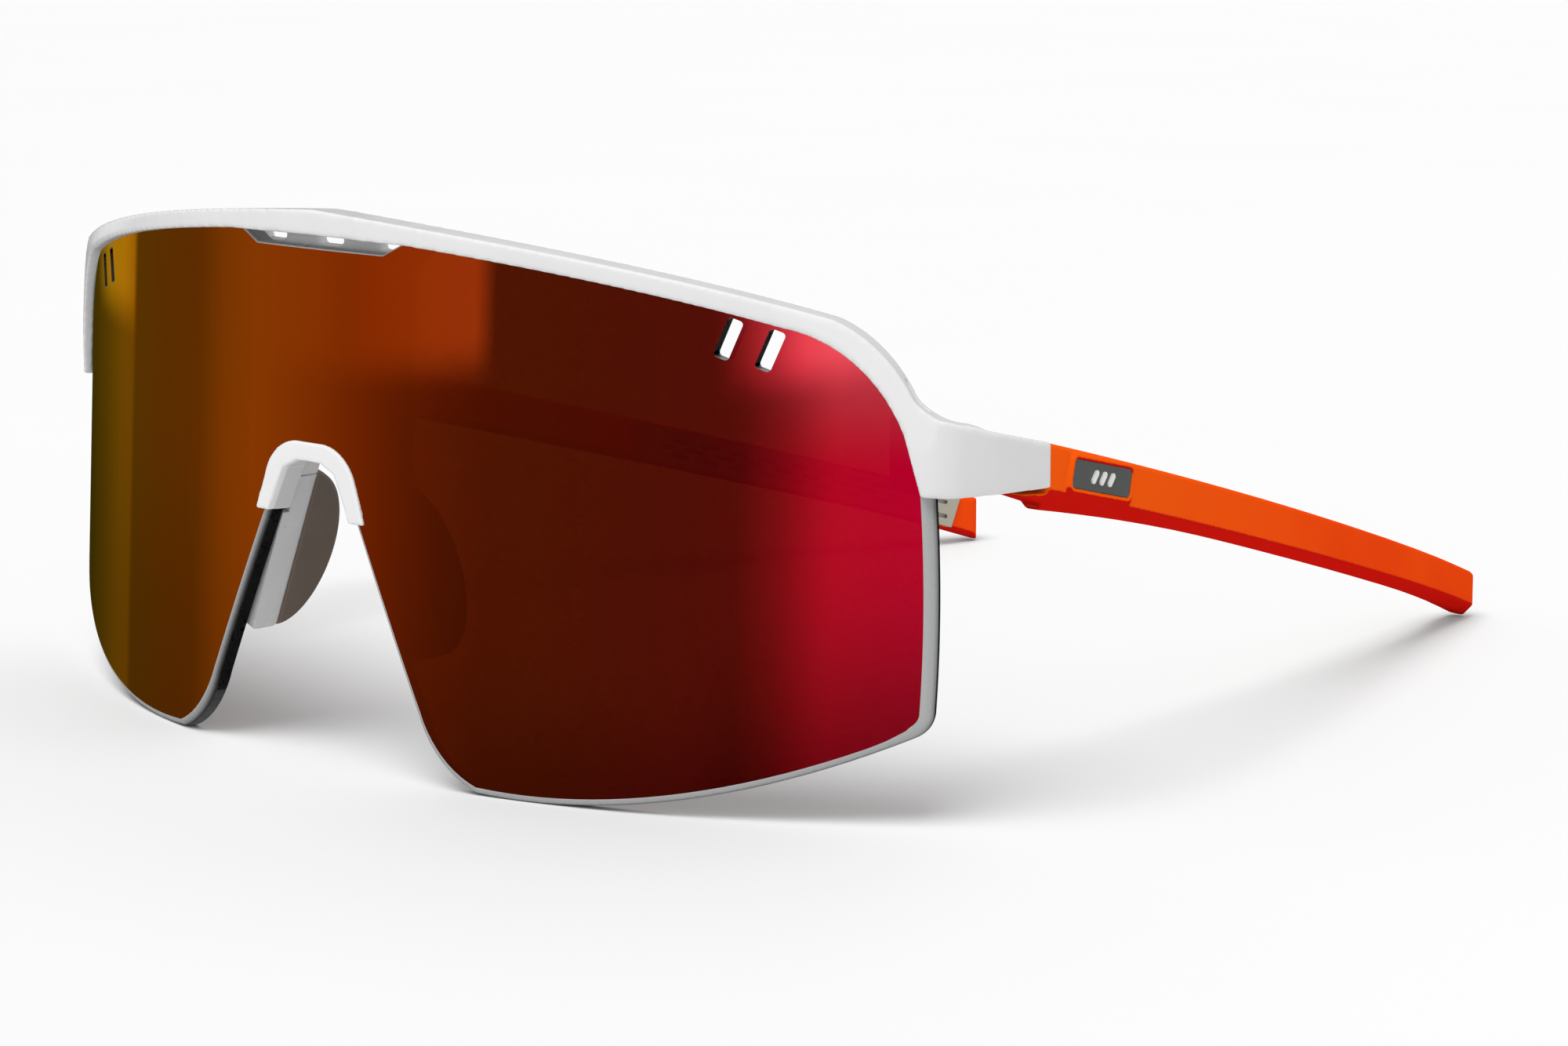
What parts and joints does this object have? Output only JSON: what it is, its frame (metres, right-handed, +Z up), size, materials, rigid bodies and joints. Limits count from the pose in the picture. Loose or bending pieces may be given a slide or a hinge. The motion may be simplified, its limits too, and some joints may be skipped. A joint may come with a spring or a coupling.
{
  "type": "wraparound sport sunglasses",
  "caption": "Half-rim sport sunglasses: one curved mirror shield, a brow bar with hinged drop-down temples, and a nose clip with bendable soft pads.",
  "frame": {"origin": "centre of the footprint of the open glasses, on the surface they stand on", "axes": "+Z up; the lens faces -Y, the temples run towards +Y, and +X is the wearer's left"},
  "size_m": [0.141, 0.1552, 0.0596],
  "materials": {
    "lens_mirror": "mirror-coated polycarbonate",
    "frame_white": "smooth satin white",
    "nose_grey": "fine matt",
    "pad_rubber": "soft matt",
    "temple_orange": "satin",
    "grip_rubber": "soft matt",
    "badge_plate": "fine matt",
    "badge_mark": "satin",
    "hinge_steel": "brushed",
    "screw_steel": "polished",
    "core_steel": "drawn"
  },
  "bodies": {
    "front": {"lens_shield": "lens_mirror", "brow_frame": "frame_white", "nose_bridge": "frame_white", "hinge_eye_left": "hinge_steel", "hinge_screw_left": "screw_steel", "nose_wire_left": "core_steel", "hinge_eye_right": "hinge_steel", "hinge_screw_right": "screw_steel", "nose_wire_right": "core_steel"},
    "temple_left_arm": {"temple_left": "temple_orange", "temple_grip_left": "grip_rubber", "temple_badge_left": "badge_plate", "badge_mark_left": "badge_mark", "temple_core_left": "core_steel", "hinge_leaf_left": "hinge_steel"},
    "nose_left_side": {"nose_arm_left": "nose_grey", "nose_pad_left": "pad_rubber"},
    "temple_right_arm": {"temple_right": "temple_orange", "temple_grip_right": "grip_rubber", "temple_badge_right": "badge_plate", "badge_mark_right": "badge_mark", "temple_core_right": "core_steel", "hinge_leaf_right": "hinge_steel"},
    "nose_right_side": {"nose_arm_right": "nose_grey", "nose_pad_right": "pad_rubber"}
  },
  "joints": [
    {"name": "temple_left_fold", "type": "hinge", "parent": "front", "child": "temple_left_arm", "pos_m": [0.066, -0.04076, 0.036], "axis": [0, 0, 1], "range_deg": [0, 82]},
    {"name": "temple_right_fold", "type": "hinge", "parent": "front", "child": "temple_right_arm", "pos_m": [-0.066, -0.04076, 0.036], "axis": [0, 0, -1], "range_deg": [0, 74]},
    {"name": "nose_left_bend", "type": "hinge", "parent": "front", "child": "nose_left_side", "pos_m": [0.00556, -0.07266, 0.0328], "axis": [-0.3872, 0, 0.922], "range_deg": [-8, 8]},
    {"name": "nose_right_bend", "type": "hinge", "parent": "front", "child": "nose_right_side", "pos_m": [-0.00556, -0.07266, 0.0328], "axis": [-0.3872, 0, -0.922], "range_deg": [-8, 8]}
  ]
}
